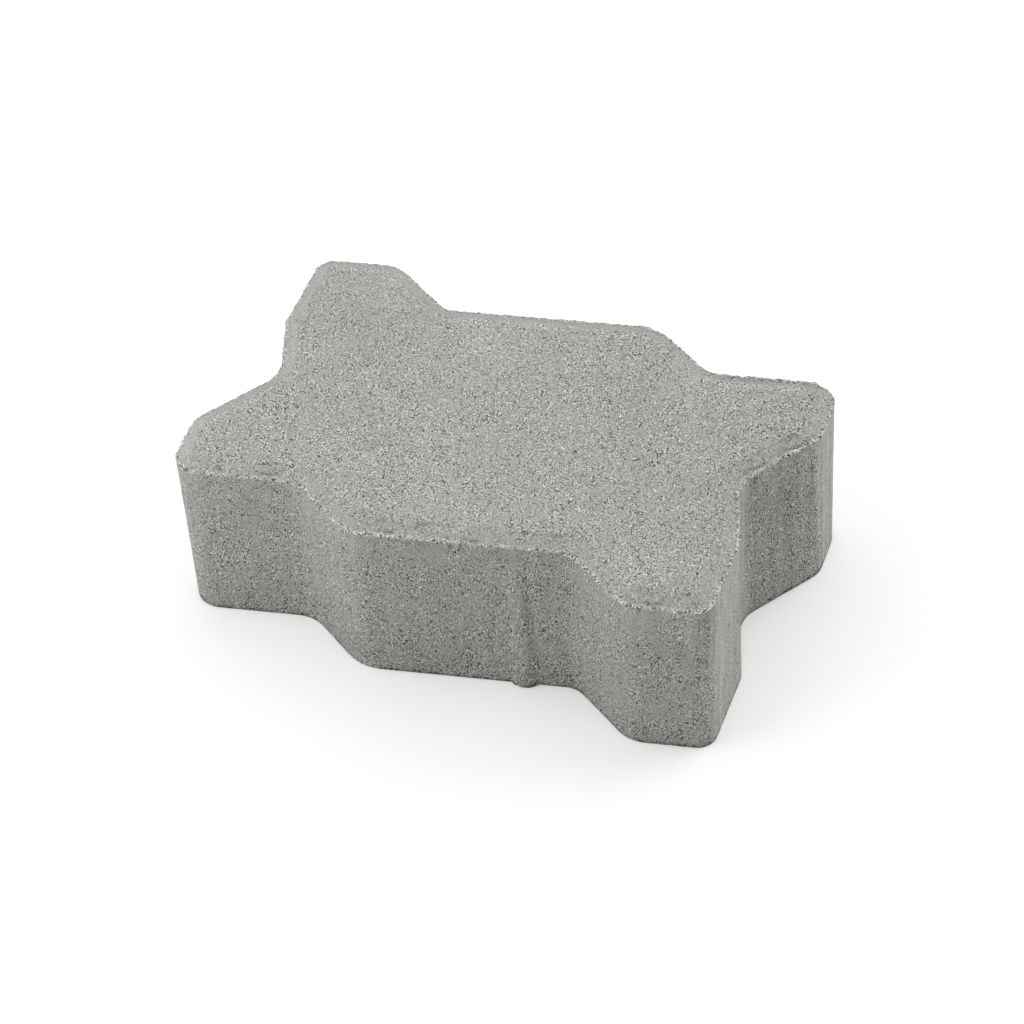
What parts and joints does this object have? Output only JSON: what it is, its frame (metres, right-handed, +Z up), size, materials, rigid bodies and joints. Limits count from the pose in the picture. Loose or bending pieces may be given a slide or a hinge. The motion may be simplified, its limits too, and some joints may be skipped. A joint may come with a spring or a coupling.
{
  "type": "paving stone",
  "caption": "Zig-zag concrete paving stone that interlocks with its neighbours: stepped sides and ends, bevelled rim round the top face, tapered spacer nibs on its long sides.",
  "frame": {"origin": "on the bottom face, under the centre of the outline", "axes": "+X along the straight runs of the long sides, +Y across the stone, +Z up out of the bevelled top face"},
  "size_m": [0.2504, 0.1746, 0.08],
  "materials": {
    "concrete": "matt, sandy cast concrete"
  },
  "bodies": {
    "root": {"paving_stone": "concrete"}
  },
  "joints": []
}
